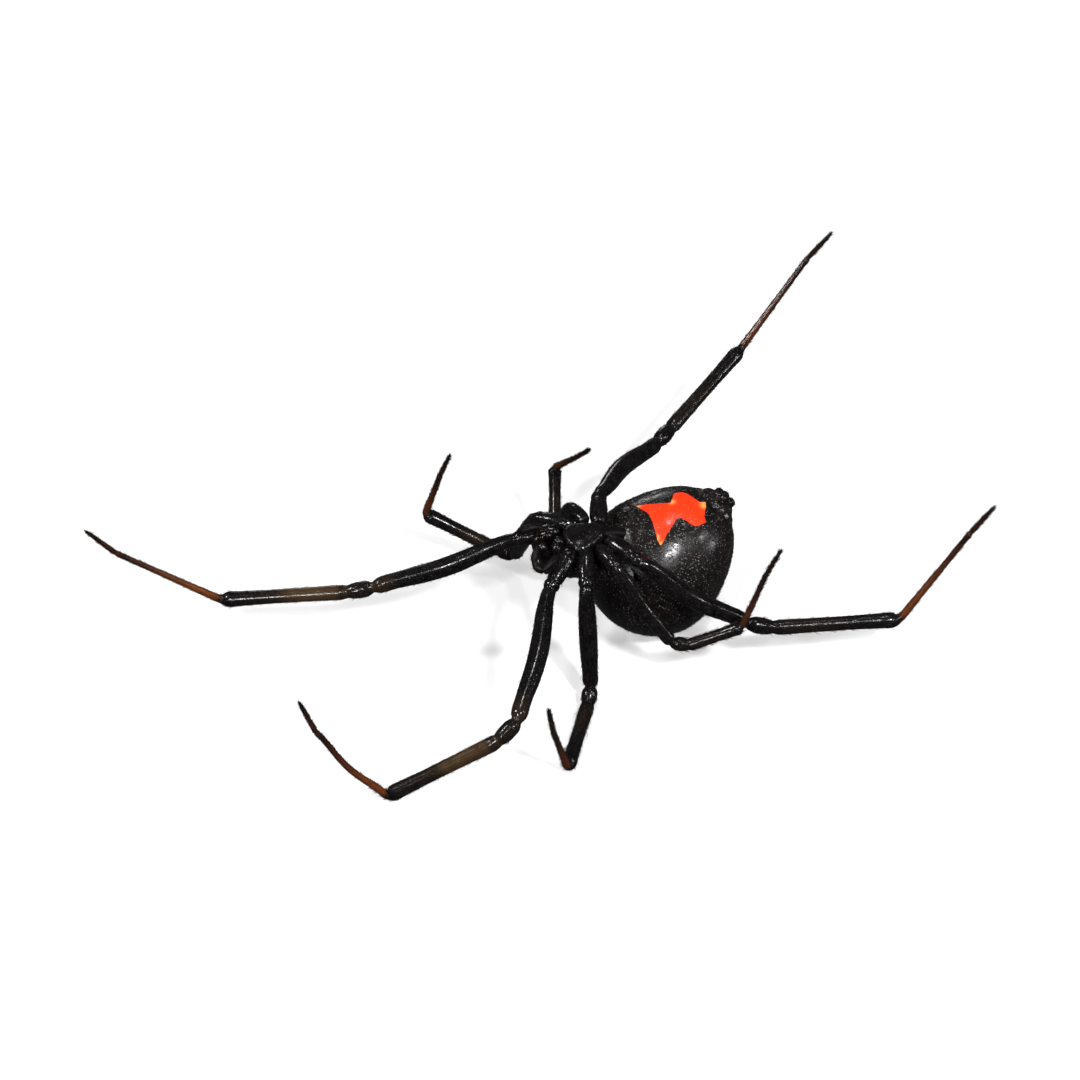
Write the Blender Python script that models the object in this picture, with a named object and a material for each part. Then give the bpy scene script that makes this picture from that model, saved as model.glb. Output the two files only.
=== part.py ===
# Black widow spider (adult female), life size, lying on its back, belly up and legs spread.
# Metres, +Z up. The origin is the centre of the small flat on which the abdomen rests.
# The belly faces +Z, the spinnerets point to +X and the head to -X.
# The table of the legs is in millimetres and degrees; everything else is scaled from it.
import math

import bmesh
import bpy
from mathutils import Matrix, Vector

MM = 0.001
GAP = 0.3            # clear gap between neighbouring pieces, in mm
REST_RADIUS = 1.6    # radius of the abdomen's rest flat

# abdomen: an egg round an axis that is turned and lifted, pointed towards the spinnerets
ABDOMEN_CENTRE = Vector((0.34, 0.18, 4.68))
ABDOMEN_YAW = 28.0
ABDOMEN_LIFT = 37.0
ABDOMEN_EGG = (4.858, -0.049, 0.347, 0.2, 0.035)   # its radius is a sum of cosines of 0, 1, 2... angles
SPINNERET_REACH = 6.25    # from the abdomen's centre to the spinnerets' tips

# cephalothorax: its own frame is forward, left, up, with its centre under the sternum
BODY_YAW = 202.0          # heading of the head
BODY_CENTRE = Vector((-4.74, -2.02, 0.0))
RIM_Z = 8.05              # level of the carapace's rim
COXA_Z = 8.9
CARAPACE_FRONT = 2.95
CARAPACE_REAR = -1.85
CARAPACE_DEPTH = 1.75
STERNUM_FRONT = 1.22
STERNUM_REAR = -1.72
STERNUM_HALF = 1.28
STERNUM_LOW = RIM_Z + GAP
STERNUM_TOP = 9.55

# palps: femur, then the rest, as forward, left and height in the body frame
PALPS = {
    "right": ((2.05, -1.22, 9.20), (2.80, -1.62, 9.22), (3.42, -1.88, 9.05),
              (3.72, -1.80, 9.15), (3.88, -1.55, 9.35), (3.78, -1.20, 9.72),
              (3.58, -0.98, 10.02), (3.38, -0.80, 10.22)),
    "left": ((2.12, 1.12, 9.42), (2.80, 1.28, 9.66), (3.42, 1.34, 9.70),
             (3.70, 1.22, 9.80), (3.82, 1.00, 9.95), (3.74, 0.72, 10.20),
             (3.56, 0.56, 10.42), (3.36, 0.44, 10.55)),
}

# legs: forward and sideways place of each coxa's root in the body frame
COXA_ROOT = {"1": (1.40, 1.12), "2": (0.36, 1.45), "3": (-0.66, 1.42), "4": (-1.50, 0.98)}
# lengths of coxa with trochanter, femur, patella, tibia, metatarsus and tarsus
LEG_LENGTHS = {
    "1": (2.7, 9.6, 1.7, 8.5, 8.9, 2.9),
    "2": (2.4, 7.4, 1.2, 5.5, 5.0, 2.2),
    "3": (1.8, 6.5, 1.1, 3.7, 4.2, 1.9),
    "4": (2.7, 8.5, 1.7, 8.2, 7.7, 2.5),
}
# heading and slope of the coxa, femur, tibia, metatarsus and tarsus
LEG_POSE = {
    ("1", "left"): ((-178, -12), (-170, -17), (174, -11), (-163, 44), (-167, 54)),
    ("1", "right"): ((-120, -20), (-102, -13), (-177, -34.2), (-158, 61), (-180, 72)),
    ("2", "left"): ((156, -9), (113, -62), (164, 22), (-46, 71), (-27, 70)),
    ("2", "right"): ((-91, -17), (-79, -75), (-104, 0), (-127, 72), (-159, 82)),
    ("3", "left"): ((120, -9), (105, -61), (90, 53), (-60, 49), (-43, 52)),
    ("3", "right"): ((-59, 0), (-26, -52), (1, 26), (35, 65), (26, 60)),
    ("4", "left"): ((89, -5), (61, -15), (53, 9), (38, 42), (10, 52)),
    ("4", "right"): ((-46, 2), (-6, -35), (5, 0), (22, 54), (9, 57)),
}
# how far the middle of the femur and of the metatarsus bows to the side and up
LEG_BOW = {
    ("1", "left"): (0.0, -0.36, 0.0, 0.0),
    ("1", "right"): (0.28, 0.0, 0.0, -0.30),
    ("3", "right"): (0.0, -0.22, 0.0, 0.0),
    ("4", "left"): (0.36, 0.0, 0.0, 0.0),
    ("4", "right"): (-0.1, -0.43, 0.0, 0.0),
}
LEG_THICK = {"1": 1.0, "2": 0.95, "3": 0.84, "4": 1.0}
# radius along a leg of the first pair: whole numbers are the joints
LEG_PROFILE = (
    (0.0, 0.33), (0.35, 0.42), (0.75, 0.50), (0.93, 0.48), (1.0, 0.40),
    (1.07, 0.46), (1.35, 0.62), (1.6, 0.62), (1.88, 0.54), (1.96, 0.50), (2.0, 0.42),
    (2.15, 0.47), (2.6, 0.50), (2.88, 0.46), (3.0, 0.42), (3.1, 0.46), (3.5, 0.47),
    (3.85, 0.50), (3.96, 0.46), (4.0, 0.36), (4.06, 0.34), (4.3, 0.31), (4.7, 0.27),
    (4.93, 0.27), (5.0, 0.25), (5.1, 0.26), (5.5, 0.22), (5.85, 0.16), (6.0, 0.09),
)
FLOOR_PARTS = (("1", "right", "tibia"), ("2", "right", "tibia"))   # what else touches the floor
LEG_PARTS = (("coxa", 0, 1), ("femur", 1, 2), ("tibia", 2, 4), ("foot", 4, 6))
BEND = 0.62          # how far from a joint its bend starts
LEG_SIDES = 10

parts = bpy.data.collections.new("black_widow_spider")
cutters = bpy.data.collections.new("cutters")


def clear_scene():
    for item in list(bpy.data.objects):
        bpy.data.objects.remove(item, do_unlink=True)
    bpy.context.scene.collection.children.link(parts)
    bpy.context.scene.collection.children.link(cutters)


def material(name, colour, rough):
    mat = bpy.data.materials.new(name)
    mat.use_nodes = True
    shader = mat.node_tree.nodes["Principled BSDF"]
    shader.inputs["Base Color"].default_value = (*colour, 1.0)
    shader.inputs["Roughness"].default_value = rough
    shader.inputs["Metallic"].default_value = 0.0
    return mat


def heading(angle, slope=0.0):
    h = math.radians(angle)
    s = math.radians(slope)
    return Vector((math.cos(h) * math.cos(s), math.sin(h) * math.cos(s), math.sin(s)))


FORWARD = heading(BODY_YAW)
LEFT = heading(BODY_YAW - 90.0)
UP = Vector((0, 0, 1))


def in_body(forward, left, z):
    return BODY_CENTRE + FORWARD * forward + LEFT * left + UP * z


def between(table, x):
    """Smooth reading of a table of (place, value)."""
    if x <= table[0][0]:
        return table[0][1]
    for (x0, y0), (x1, y1) in zip(table, table[1:]):
        if x <= x1:
            t = (x - x0) / (x1 - x0)
            t = t * t * (3 - 2 * t)
            return y0 + (y1 - y0) * t
    return table[-1][1]


def finish(obj, mat, collection=parts):
    collection.objects.link(obj)
    if obj.type == "MESH":
        obj.data.shade_smooth()
    obj.data.materials.append(mat)
    return obj


def make_cutter(obj):
    obj.hide_render = True
    obj.display_type = "WIRE"


def apply_mesh(obj):
    """A closed mesh object in place of a curve or of an object with modifiers."""
    graph = bpy.context.evaluated_depsgraph_get()
    mesh = bpy.data.meshes.new_from_object(obj.evaluated_get(graph))
    bm = bmesh.new()
    bm.from_mesh(mesh)
    bmesh.ops.remove_doubles(bm, verts=bm.verts, dist=1e-7)
    bm.to_mesh(mesh)
    bm.free()
    name = obj.name
    mat = obj.data.materials[0] if obj.data.materials else None
    matrix = obj.matrix_world.copy()
    home = obj.users_collection[0]
    bpy.data.objects.remove(obj, do_unlink=True)
    made = bpy.data.objects.new(name, mesh)
    made.matrix_world = matrix
    home.objects.link(made)
    if mat and not mesh.materials:
        mesh.materials.append(mat)
    mesh.shade_smooth()
    return made


def tube(name, points, radii, mat, res=3, collection=parts):
    """A round tube through the points, in mm, as a poly curve with filled caps."""
    curve = bpy.data.curves.new(name, "CURVE")
    curve.dimensions = "3D"
    curve.bevel_depth = MM
    curve.bevel_resolution = res
    curve.use_fill_caps = True
    curve.twist_mode = "MINIMUM"
    spline = curve.splines.new("POLY")
    spline.points.add(len(points) - 1)
    for place, point, radius in zip(spline.points, points, radii):
        place.co = (*(point * MM), 1.0)
        place.radius = radius
    return finish(bpy.data.objects.new(name, curve), mat, collection)


def spindle(name, shape, mat, rings=20, sides=24, collection=parts, flip=False):
    """A globe whose poles lie along X, moved point by point by shape(s, c, w)."""
    bm = bmesh.new()
    bmesh.ops.create_uvsphere(bm, u_segments=sides, v_segments=rings, radius=1.0)
    for vert in bm.verts:
        x, y, z = vert.co.z, vert.co.x, vert.co.y
        round_part = math.sqrt(max(y * y + z * z, 1e-12))
        if round_part < 1e-4:
            y, z, round_part = 0.0, 0.0, 1.0
        vert.co = shape(x, y / round_part, z / round_part) * MM
    if bm.calc_volume(signed=True) < 0:
        bmesh.ops.reverse_faces(bm, faces=bm.faces)
    mesh = bpy.data.meshes.new(name)
    bm.to_mesh(mesh)
    bm.free()
    return finish(bpy.data.objects.new(name, mesh), mat, collection)


def slice_flat(obj, level, keep_above):
    """Cut a mesh by a level plane and close it with one flat face."""
    bm = bmesh.new()
    bm.from_mesh(obj.data)
    normal = Vector((0, 0, -1 if keep_above else 1))
    bmesh.ops.bisect_plane(
        bm, geom=bm.verts[:] + bm.edges[:] + bm.faces[:], dist=1e-8,
        plane_co=(0, 0, level * MM), plane_no=normal, clear_outer=True)
    rim = [edge for edge in bm.edges if edge.is_boundary]
    bmesh.ops.contextual_create(bm, geom=rim)
    bmesh.ops.recalc_face_normals(bm, faces=bm.faces)
    if bm.calc_volume(signed=True) < 0:
        bmesh.ops.reverse_faces(bm, faces=bm.faces)
    bm.to_mesh(obj.data)
    bm.free()


def boolean(obj, other, operation="DIFFERENCE"):
    mod = obj.modifiers.new(operation.lower(), "BOOLEAN")
    mod.operation = operation
    mod.object = other
    mod.solver = "EXACT"
    return mod


def leg_points(number, side):
    """The seven joints of a leg and its six directions."""
    sign = 1 if side == "left" else -1
    pose = [heading(*row) for row in LEG_POSE[number, side]]
    patella = pose[1].slerp(pose[2], 0.6)
    dirs = [pose[0], pose[1], patella, pose[2], pose[3], pose[4]]
    forward, out = COXA_ROOT[number]
    joints = [in_body(forward, sign * out, COXA_Z)]
    for direction, length in zip(dirs, LEG_LENGTHS[number]):
        joints.append(joints[-1] + direction * length)
    return joints, dirs


def leg_piece(number, side, first, last):
    """Rings of the stretch of a leg between two joints, as centre, direction and radius."""
    joints, dirs = leg_points(number, side)
    lengths = LEG_LENGTHS[number]
    reach = [0.0] * 7
    for j in range(1, 6):
        reach[j] = min(BEND if j < 4 else 0.45, 0.4 * lengths[j - 1], 0.4 * lengths[j])

    def bend(j, t):
        p0 = joints[j] - dirs[j - 1] * reach[j]
        p2 = joints[j] + dirs[j] * reach[j]
        point = p0 * (1 - t) ** 2 + joints[j] * (2 * t * (1 - t)) + p2 * t * t
        ahead = (dirs[j - 1] * (1 - t) + dirs[j] * t).normalized()
        if t < 0.5:
            place = j - (0.5 - t) * 2 * reach[j] / lengths[j - 1]
        else:
            place = j + (t - 0.5) * 2 * reach[j] / lengths[j]
        return point, ahead, place

    def straight(j, t):
        a = reach[j] / lengths[j]
        b = 1 - reach[j + 1] / lengths[j]
        shift = Vector()
        if j in (1, 4):
            side_bow, up_bow = LEG_BOW.get((number, side), (0, 0, 0, 0))[0 if j == 1 else 2:][:2]
            level = UP.cross(dirs[j]).normalized()
            shift = level * side_bow + dirs[j].cross(level) * up_bow
        point = joints[j].lerp(joints[j + 1], a + (b - a) * t) + shift * (16 * t * t * (1 - t) * (1 - t))
        slant = shift * (32 * t * (1 - t) * (1 - 2 * t))
        ahead = (dirs[j] * (lengths[j] * (b - a)) + slant).normalized()
        return point, ahead, j + a + (b - a) * t

    rows = []
    if first == 0:
        rows += [(joints[0] - dirs[0] * 0.3, dirs[0], 0.0)]
    else:
        face = (dirs[first - 1] + dirs[first]).normalized()
        rows += [(bend(first, 0.5)[0] + face * GAP / 2, face, first)]
        rows += [bend(first, 1.0)]
    for j in range(first, last):
        count = max(2, round((lengths[j] - reach[j] - reach[j + 1]) / 1.15))
        rows += [straight(j, k / count) for k in range(1, count)]
        if j + 1 < last:
            rows += [bend(j + 1, t) for t in (0.0, 0.33, 0.67, 1.0)]
    if last == 6:
        rows += [(joints[5].lerp(joints[6], 0.95), dirs[5], 5.95)]
        end = (joints[6], dirs[5], 6.0)
    else:
        face = (dirs[last - 1] + dirs[last]).normalized()
        rows += [bend(last, 0.0)]
        end = (bend(last, 0.5)[0] - face * GAP / 2, face, last)

    def sized(row):
        radius = between(LEG_PROFILE, row[2]) * LEG_THICK[number]
        return row[0], row[1], max(radius, 0.25) if row[2] < 5.3 else radius

    rings = []
    for row in rows:
        ring = sized(row)
        if not rings or rings_clear(rings[-1], ring):
            rings.append(ring)
    end = sized(end)
    while len(rings) > 1 and not rings_clear(rings[-1], end):
        rings.pop()
    return rings + [end]


def rings_clear(one, two):
    """Whether two rings of a tube stay apart on the inside of a bend."""
    step = two[0] - one[0]
    tilt = math.sin(one[1].angle(two[1]))
    return step.dot(one[1]) > two[2] * tilt + 0.05 and step.dot(two[1]) > one[2] * tilt + 0.05


def ring_tube(name, rings, mat, sides=LEG_SIDES):
    """A closed tube through rings of (centre, direction, radius), in mm, that don't spin."""
    side = rings[0][1].orthogonal()
    verts = []
    for centre, ahead, radius in rings:
        side = (side - ahead * side.dot(ahead)).normalized()
        over = ahead.cross(side)
        for k in range(sides):
            turn = 2 * math.pi * k / sides
            verts.append((centre + (side * math.cos(turn) + over * math.sin(turn)) * radius) * MM)
    faces = [tuple(range(sides))[::-1], tuple(range(len(verts) - sides, len(verts)))]
    for row in range(len(rings) - 1):
        for k in range(sides):
            a = row * sides + k
            b = row * sides + (k + 1) % sides
            faces.append((a, b, b + sides, a + sides))
    mesh = bpy.data.meshes.new(name)
    mesh.from_pydata(verts, [], faces)
    mesh.update()
    return finish(bpy.data.objects.new(name, mesh), mat)


def build():
    clear_scene()
    black = material("black_cuticle", (0.012, 0.011, 0.012), 0.22)
    satin = material("abdomen_cuticle", (0.022, 0.018, 0.016), 0.38)
    brown = material("brown_cuticle", (0.10, 0.04, 0.02), 0.35)
    dark = material("fang", (0.03, 0.008, 0.004), 0.2)

    # abdomen
    axis = heading(ABDOMEN_YAW, ABDOMEN_LIFT)
    across = heading(ABDOMEN_YAW + 90.0)
    over = axis.cross(across)

    def abdomen_shape(s, c, w, grow=0.0):
        angle = math.acos(max(-1.0, min(1.0, s)))
        radius = sum(a * math.cos(k * angle) for k, a in enumerate(ABDOMEN_EGG)) + grow
        ring = math.sin(angle)
        return ABDOMEN_CENTRE + (axis * s + across * ring * c + over * ring * w) * radius

    abdomen = spindle("abdomen", abdomen_shape, satin, rings=22, sides=32)
    slice_flat(abdomen, 0.0, keep_above=True)

    def abdomen_grown(s, c, w):
        return abdomen_shape(s, c, w, GAP * 1.03)

    abdomen_cutter = spindle("cut_abdomen", abdomen_grown, satin, rings=22, sides=32, collection=cutters)
    make_cutter(abdomen_cutter)

    # spinnerets: one broad low base with six short cones, joined and cut by the abdomen
    base_end = ABDOMEN_CENTRE + axis * (SPINNERET_REACH - 0.32)
    spin = tube("spinnerets", [base_end - axis * 0.9, base_end - axis * 0.25, base_end],
                [1.20, 1.00, 0.76], brown, res=4)
    spin = apply_mesh(spin)
    for k, (x, y, r, length) in enumerate(((0.34, -0.36, 0.27, 0.28), (-0.34, -0.36, 0.27, 0.28),
                                           (0.36, 0.30, 0.25, 0.24), (-0.36, 0.30, 0.25, 0.24),
                                           (0.0, 0.42, 0.2, 0.1), (0.0, -0.02, 0.2, 0.12))):
        foot = base_end + across * x + over * y
        lean = (axis + across * x * 0.35 + over * y * 0.25).normalized()
        cone = tube(f"cut_spinneret_{k}", [foot - axis * 0.3, foot + lean * length * 0.6, foot + lean * length],
                    [r, r * 0.9, r * 0.5], brown, res=2, collection=cutters)
        cone = apply_mesh(cone)
        make_cutter(cone)
        boolean(spin, cone, "UNION")
    boolean(spin, abdomen_cutter)

    # carapace: its back is the dome that faces the floor, its rim is a level plane
    mid = (CARAPACE_FRONT + CARAPACE_REAR) / 2
    half = (CARAPACE_FRONT - CARAPACE_REAR) / 2
    width_table = ((-1.0, 1.05), (-0.6, 1.95), (-0.1, 2.12), (0.3, 1.78), (0.55, 1.35), (0.8, 1.22), (1.0, 1.15))
    depth_table = ((-1.0, 0.35), (-0.5, 1.15), (0.0, CARAPACE_DEPTH), (0.45, 1.62), (0.8, 1.62), (1.0, 1.35))

    def carapace_shape(s, c, w, grow=0.0):
        fade = (1 - abs(s) ** 5) ** 0.5
        width = between(width_table, s) * fade + grow
        depth = between(depth_table, s) * fade + grow
        hollow = 0.16 * math.exp(-((s + 0.2) / 0.12) ** 2 - (c / 0.25) ** 2) if w < 0 else 0.0
        height = w * (depth - hollow) if w < 0 else w * (0.5 * fade + grow)
        return in_body(mid + (half + grow) * s, c * width, RIM_Z + height)

    def carapace_grown(s, c, w):
        return carapace_shape(s, c, w, GAP * 1.03)

    carapace_cutter = spindle("cut_carapace", carapace_grown, black, rings=24, sides=28, collection=cutters)
    make_cutter(carapace_cutter)
    carapace = spindle("carapace", carapace_shape, black, rings=24, sides=28)
    slice_flat(carapace, RIM_Z, keep_above=False)
    eye_row = ((0.22, 0.72, 0.15), (0.62, 0.86, 0.13), (0.26, 1.16, 0.14), (0.80, 1.06, 0.13))
    for sign, side in ((1, "left"), (-1, "right")):
        for k, (out, low, radius) in enumerate(eye_row):
            s = 0.93 if k < 2 else 0.86
            fade = (1 - s ** 5) ** 0.5
            depth = between(depth_table, s) * fade
            width = between(width_table, s) * fade
            c = max(-1.0, min(1.0, out / width))
            place = in_body(mid + half * s, sign * out, RIM_Z - depth * math.sqrt(1 - c * c))
            bpy.context.view_layer.update()
            bm = bmesh.new()
            bmesh.ops.create_icosphere(bm, subdivisions=1, radius=radius * MM,
                                       matrix=Matrix.Translation(place * MM))
            mesh = bpy.data.meshes.new(f"cut_eye_{side}_{k}")
            bm.to_mesh(mesh)
            bm.free()
            eye = finish(bpy.data.objects.new(mesh.name, mesh), black, cutters)
            make_cutter(eye)
            boolean(carapace, eye, "UNION")
    boolean(carapace, abdomen_cutter)

    # sternum: a shield with a low dome, pointed behind
    smid = (STERNUM_FRONT + STERNUM_REAR) / 2
    shalf = (STERNUM_FRONT - STERNUM_REAR) / 2
    shield = ((-1.0, 0.22), (-0.5, 0.72), (0.0, 1.08), (0.45, STERNUM_HALF), (0.75, 1.2), (1.0, 0.95))

    def sternum_shape(s, c, w, grow=0.0):
        fade = (1 - abs(s) ** 6) ** 0.5
        width = between(shield, s) * fade + grow
        if w > 0:
            height = STERNUM_TOP - 0.28 + 0.28 * w * fade + grow * 4
        else:
            height = STERNUM_LOW - 0.2 - grow
        side = math.copysign(abs(c) ** 0.45, c)
        return in_body(smid + (shalf + grow) * s, side * width, height)

    sternum = spindle("sternum", sternum_shape, black, rings=18, sides=20)
    slice_flat(sternum, STERNUM_LOW, keep_above=True)

    def sternum_grown(s, c, w):
        return sternum_shape(s, c, w, GAP * 1.04)

    sternum_cutter = spindle("cut_sternum", sternum_grown, black, rings=18, sides=20, collection=cutters)
    make_cutter(sternum_cutter)

    # pedicel: a short stalk from the cephalothorax to the abdomen, in the gap between them
    pedicel = tube("pedicel", [in_body(-1.5, 0, 8.75), in_body(-3.6, 0, 7.75)], [0.33, 0.38], brown, res=3)
    pedicel = apply_mesh(pedicel)
    boolean(pedicel, carapace_cutter)
    boolean(pedicel, sternum_cutter)
    boolean(pedicel, abdomen_cutter)

    # mouth parts
    tube("labium", [in_body(1.62, 0, STERNUM_LOW), in_body(1.68, 0, 9.0), in_body(1.74, 0, 9.5)],
         [0.30, 0.30, 0.22], black, res=3)
    for sign, side in ((1, "left"), (-1, "right")):
        tube(f"maxilla_{side}",
             [in_body(1.98, sign * 0.66, STERNUM_LOW), in_body(2.08, sign * 0.62, 8.95),
              in_body(2.14, sign * 0.48, 9.62)],
             [0.28, 0.30, 0.20], black, res=3)
        tube(f"chelicera_{side}",
             [in_body(2.66, sign * 0.46, STERNUM_LOW), in_body(2.82, sign * 0.47, 8.75),
              in_body(2.92, sign * 0.44, 9.3), in_body(2.90, sign * 0.36, 9.85)],
             [0.30, 0.31, 0.29, 0.20], black, res=3)
        tube(f"fang_{side}",
             [in_body(2.84, sign * 0.24, 10.24), in_body(2.70, sign * 0.20, 10.36),
              in_body(2.48, sign * 0.18, 10.34), in_body(2.32, sign * 0.17, 10.20)],
             [0.11, 0.10, 0.08, 0.04], dark, res=2)
    for side, path in PALPS.items():
        stops = [in_body(*row) for row in path]
        tube(f"palp_{side}_femur", stops[:3], [0.25, 0.29, 0.25], black, res=3)
        tube(f"palp_{side}_tibia", stops[3:], [0.25, 0.27, 0.27, 0.24, 0.10], black, res=3)
    for number in "1234":
        for side in ("left", "right"):
            for part, first, last in LEG_PARTS:
                rings = leg_piece(number, side, first, last)
                mat = brown if part == "foot" else black
                obj = ring_tube(f"leg_{number}_{side}_{part}", rings, mat)
                if part == "coxa":
                    boolean(obj, sternum_cutter)
                if (number, side, part) in FLOOR_PARTS:
                    slice_flat(obj, 0.0, keep_above=True)


build()
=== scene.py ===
# %% [markdown]
# # A black widow on her back
# The spider lies on her back: belly up, legs spread, the red hourglass in view.
# The solid model is the fixed frame. Every visible surface here is worked out again with numpy,
# finer than the solids, in the same place. Lengths are in millimetres until they reach a mesh.

# %% Load the frame
import math

import bpy
import numpy as np
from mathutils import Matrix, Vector


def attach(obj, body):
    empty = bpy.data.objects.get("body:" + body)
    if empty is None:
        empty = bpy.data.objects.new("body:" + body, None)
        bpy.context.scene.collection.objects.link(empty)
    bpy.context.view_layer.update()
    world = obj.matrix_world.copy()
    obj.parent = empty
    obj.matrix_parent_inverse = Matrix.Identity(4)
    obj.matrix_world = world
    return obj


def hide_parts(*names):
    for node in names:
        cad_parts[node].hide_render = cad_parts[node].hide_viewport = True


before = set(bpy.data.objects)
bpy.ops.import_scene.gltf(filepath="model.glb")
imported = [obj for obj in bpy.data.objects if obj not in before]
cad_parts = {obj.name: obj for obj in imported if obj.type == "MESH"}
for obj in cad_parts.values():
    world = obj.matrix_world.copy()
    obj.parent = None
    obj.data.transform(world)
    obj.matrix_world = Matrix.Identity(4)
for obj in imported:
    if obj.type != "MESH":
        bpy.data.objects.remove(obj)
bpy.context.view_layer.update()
MM = 0.001
print("solids:", len(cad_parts))

# %% [markdown]
# ## Camera
# The photo looks down at 45 degrees with a long lens, so perspective is weak. The camera is set
# first, because all the shapes below are judged through it.

# %% Camera
eye = bpy.data.cameras.new("camera")
eye.lens = 112.93
eye.sensor_width = 36.0
eye.clip_start = 0.01
camera = bpy.data.objects.new("camera", eye)
camera.location = (-0.007457, -0.154619, 0.161268)
camera.rotation_euler = (math.radians(45.0), 0.0, 0.0)
bpy.context.scene.collection.objects.link(camera)
bpy.context.scene.camera = camera
print("camera height in mm:", round(camera.location.z / MM))

# %% [markdown]
# ## From a grid to a mesh
# Almost every part of a spider is a tube or a pod, so almost every mesh here is a grid of rings.
# Rings joined by quads make the wall, and one point at each end closes it. A mesh filled from
# whole arrays is much faster than one built face by face.


# %% Grid to mesh
def add_mesh(name, verts, quads, tris, material, values=None, uv=None):
    """Vertices in mm, quads and triangles as index arrays; values are one number a vertex."""
    mesh = bpy.data.meshes.new(name)
    loops = np.concatenate([quads.ravel(), tris.ravel()]).astype(np.int32)
    starts = np.concatenate([np.arange(len(quads)) * 4, len(quads) * 4 + np.arange(len(tris)) * 3])
    mesh.vertices.add(len(verts))
    mesh.vertices.foreach_set("co", (np.asarray(verts) * MM).astype(np.float32).ravel())
    mesh.loops.add(len(loops))
    mesh.loops.foreach_set("vertex_index", loops)
    mesh.polygons.add(len(starts))
    mesh.polygons.foreach_set("loop_start", starts.astype(np.int32))
    mesh.update(calc_edges=True)
    mesh.polygons.foreach_set("use_smooth", np.ones(len(starts), bool))
    for key, numbers in (values or {}).items():
        layer = mesh.attributes.new(key, "FLOAT", "POINT")
        layer.data.foreach_set("value", np.asarray(numbers, np.float32))
    if uv is not None:
        layer = mesh.uv_layers.new(name="OFBake")
        layer.data.foreach_set("uv", uv[loops].astype(np.float32).ravel())
    mesh.materials.append(material)
    piece = bpy.data.objects.new(name, mesh)
    bpy.context.scene.collection.objects.link(piece)
    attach(piece, "root")
    return piece


def ring_faces(rows, cols):
    """Quads between neighbouring rings, and a fan of triangles from one more point at each end."""
    i = np.arange(rows - 1)[:, None] * cols
    j = np.arange(cols)[None, :]
    k = (j + 1) % cols
    quads = np.stack([i + j, i + k, i + cols + k, i + cols + j], -1).reshape(-1, 4)
    last = (rows - 1) * cols
    j = np.arange(cols)
    k = (j + 1) % cols
    first_fan = np.stack([k, j, np.full(cols, rows * cols)], -1)
    last_fan = np.stack([last + j, last + k, np.full(cols, rows * cols + 1)], -1)
    return quads, np.concatenate([first_fan, last_fan])


def add_rings(name, rings, material, values=None):
    """A closed skin from rings (rows, cols, 3); it is turned so that its faces point out."""
    rows, cols = rings.shape[:2]
    verts = np.concatenate([rings.reshape(-1, 3), rings[[0, -1]].mean(1)])
    quads, tris = ring_faces(rows, cols)
    a, b, c, d = (verts[quads[:, n]] for n in range(4))
    volume = (a * (np.cross(b, c) + np.cross(c, d))).sum()
    if volume < 0:
        quads = quads[:, ::-1]
        tris = tris[:, ::-1]
    full = {}
    for key, numbers in (values or {}).items():
        numbers = np.broadcast_to(numbers, (rows, cols)).reshape(-1)
        full[key] = np.concatenate([numbers, [numbers[0], numbers[-1]]])
    return add_mesh(name, verts, quads, tris, material, full)


# %% [markdown]
# ## Tubes along a path
# A leg is a tube whose radius changes along its length. The rings need a frame that follows the
# path without spinning: each ring's side vector is the last one, with its part along the new
# direction taken away.


# %% Tubes and tables
def table(x, rows):
    """Reads (place, value) rows at x, easing from each to the next with 3t^2 - 2t^3."""
    places, numbers = np.array(rows, float).T
    x = np.clip(x, places[0], places[-1])
    i = np.clip(np.searchsorted(places, x, side="right") - 1, 0, len(places) - 2)
    t = (x - places[i]) / (places[i + 1] - places[i])
    t = t * t * (3 - 2 * t)
    return numbers[i] * (1 - t) + numbers[i + 1] * t


def unit(v):
    """Each vector divided by its length."""
    return v / np.maximum(np.linalg.norm(v, axis=-1, keepdims=True), 1e-12)


def frames(path):
    """Directions along a path and two sideways vectors that don't spin."""
    along = unit(np.gradient(path, axis=0))
    side = np.cross(along[0], (0.0, 0.0, 1.0))
    if np.linalg.norm(side) < 0.1:
        side = np.cross(along[0], (0.0, 1.0, 0.0))
    sides = np.empty_like(path)
    for n, direction in enumerate(along):
        side = side - direction * (side @ direction)
        side = side / np.linalg.norm(side)
        sides[n] = side
    return along, sides, np.cross(along, sides)


def tube(path, radius, cols, flat=1.0):
    """Rings round a path: point = path + side r cos(a) + over r flat sin(a)."""
    along, side, over = frames(path)
    angle = np.linspace(0, 2 * np.pi, cols, endpoint=False)[None, :, None]
    ring = side[:, None] * np.cos(angle) + over[:, None] * np.sin(angle) * flat
    return path[:, None] + ring * np.asarray(radius)[:, None, None]


def curve_through(points, count):
    """A smooth path through a few points: Catmull-Rom, in whole arrays."""
    p = np.array(points, float)
    p = np.concatenate([[2 * p[0] - p[1]], p, [2 * p[-1] - p[-2]]])
    x = np.linspace(0, len(p) - 3 - 1e-9, count)
    i = x.astype(int)
    t = (x - i)[:, None]
    a, b, c, d = (p[i + n] for n in range(4))
    square = 2 * a - 5 * b + 4 * c - d
    cube = 3 * b - a - 3 * c + d
    return 0.5 * (2 * b + (c - a) * t + square * t ** 2 + cube * t ** 3)


def round_ends(count, power=6.0):
    """Places t from -1 to 1, packed towards the ends, and the thickness there: sqrt(1 - |t|^power)."""
    t = np.linspace(-1, 1, count)
    t = np.sign(t) * (1 - (1 - np.abs(t)) ** 1.6)
    return t, np.sqrt(np.clip(1 - np.abs(t) ** power, 0, 1))


LEAST_CAP = 0.02     # a pod's end ring keeps this share of its thickness


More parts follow.
